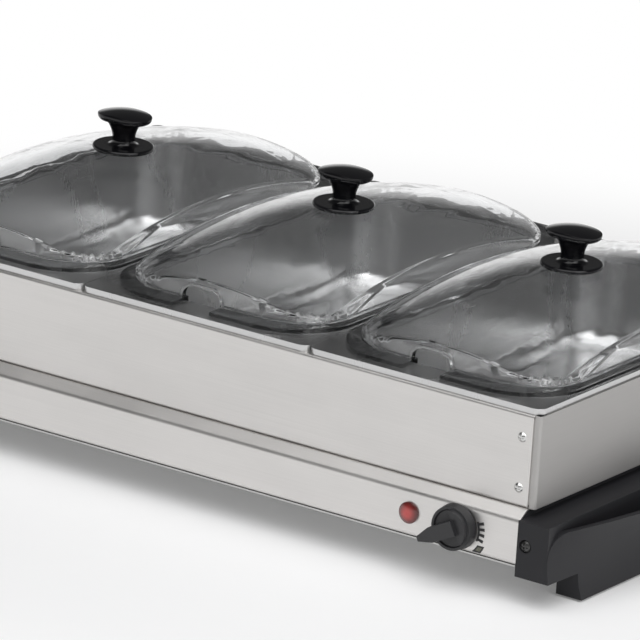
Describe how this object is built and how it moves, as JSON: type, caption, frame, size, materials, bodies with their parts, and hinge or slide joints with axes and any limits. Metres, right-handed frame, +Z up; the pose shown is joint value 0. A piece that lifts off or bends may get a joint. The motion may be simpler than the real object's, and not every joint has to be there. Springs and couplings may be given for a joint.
{
  "type": "electric buffet warmer",
  "caption": "Electric buffet warmer: heated steel base with moulded handles, lift-off frame, deep pans, clear domed lids with knobs, dial thermostat and pilot lens.",
  "frame": {"origin": "on the table, under the middle of the unit's footprint", "axes": "+X along the unit to the right, +Y to the back, +Z up; the controls face -Y"},
  "size_m": [0.616, 0.3784, 0.1878],
  "materials": {
    "base_steel": "brushed along its length",
    "frame_steel": "brushed along its length",
    "frame_end_steel": "brushed along its length",
    "pan_steel": "polished",
    "lid_clear": "clear moulded polycarbonate",
    "lid_knob_plastic": "gloss black moulding",
    "handle_plastic": "fine moulded grain",
    "knob_plastic": "satin moulding",
    "lens_red": "clear red moulding",
    "foot_rubber": "plain",
    "screw_steel": "bright plated",
    "plated_steel": "zinc plated",
    "shield_aluminium": "mill finish",
    "element_sheath": "heat-darkened sheath",
    "moulded_insulator": "plain",
    "lamp_body": "plain",
    "lead_brown": "plain",
    "lead_red": "plain",
    "lead_blue": "plain",
    "lead_grey": "plain",
    "lead_green": "plain"
  },
  "bodies": {
    "base": {"base_shell": "base_steel", "bottom_plate": "plated_steel", "bottom_screws": "screw_steel", "end_cap_left": "handle_plastic", "end_cap_right": "handle_plastic", "end_cap_screws": "screw_steel", "foot_pads": "foot_rubber", "heating_element": "element_sheath", "element_clips": "plated_steel", "heat_shield": "shield_aluminium", "thermostat_body": "moulded_insulator", "thermostat_screws": "screw_steel", "pilot_lens": "lens_red", "pilot_clip": "plated_steel", "pilot_lamp": "lamp_body", "thermal_fuse": "plated_steel", "terminal_block": "moulded_insulator", "live_lead": "lead_brown", "heater_lead": "lead_red", "neutral_lead": "lead_blue", "lamp_leads": "lead_grey", "earth_lead": "lead_green", "cord_gland": "handle_plastic", "gland_nut": "handle_plastic"},
    "control": {"control_knob": "knob_plastic", "thermostat_shaft": "plated_steel"},
    "frame": {"frame_front": "frame_steel", "frame_back": "frame_steel", "frame_left": "frame_end_steel", "frame_right": "frame_end_steel", "divider_left": "frame_steel", "divider_right": "frame_steel", "frame_screws": "screw_steel"},
    "pan_left": {"pan_left": "pan_steel"},
    "lid_left": {"lid_left": "lid_clear", "lid_knob_left": "lid_knob_plastic", "knob_screw_left": "screw_steel", "knob_washer_left": "screw_steel"},
    "pan_middle": {"pan_middle": "pan_steel"},
    "lid_middle": {"lid_middle": "lid_clear", "lid_knob_middle": "lid_knob_plastic", "knob_screw_middle": "screw_steel", "knob_washer_middle": "screw_steel"},
    "pan_right": {"pan_right": "pan_steel"},
    "lid_right": {"lid_right": "lid_clear", "lid_knob_right": "lid_knob_plastic", "knob_screw_right": "screw_steel", "knob_washer_right": "screw_steel"}
  },
  "joints": [
    {"name": "frame_lift", "type": "slide", "parent": "base", "child": "frame", "axis": [0, 0, 1], "range_m": [0, 0.15]},
    {"name": "pan_left_lift", "type": "slide", "parent": "frame", "child": "pan_left", "axis": [0, 0, 1], "range_m": [0, 0.12]},
    {"name": "lid_left_lift", "type": "slide", "parent": "pan_left", "child": "lid_left", "axis": [0, 0, 1], "range_m": [0, 0.15]},
    {"name": "pan_middle_lift", "type": "slide", "parent": "frame", "child": "pan_middle", "axis": [0, 0, 1], "range_m": [0, 0.12]},
    {"name": "lid_middle_lift", "type": "slide", "parent": "pan_middle", "child": "lid_middle", "axis": [0, 0, 1], "range_m": [0, 0.15]},
    {"name": "pan_right_lift", "type": "slide", "parent": "frame", "child": "pan_right", "axis": [0, 0, 1], "range_m": [0, 0.12]},
    {"name": "lid_right_lift", "type": "slide", "parent": "pan_right", "child": "lid_right", "axis": [0, 0, 1], "range_m": [0, 0.15]},
    {"name": "thermostat_turn", "type": "hinge", "parent": "base", "child": "control", "pos_m": [0.2151, -0.185, 0.0402], "axis": [0, 1, 0], "range_deg": [0, 240]}
  ]
}
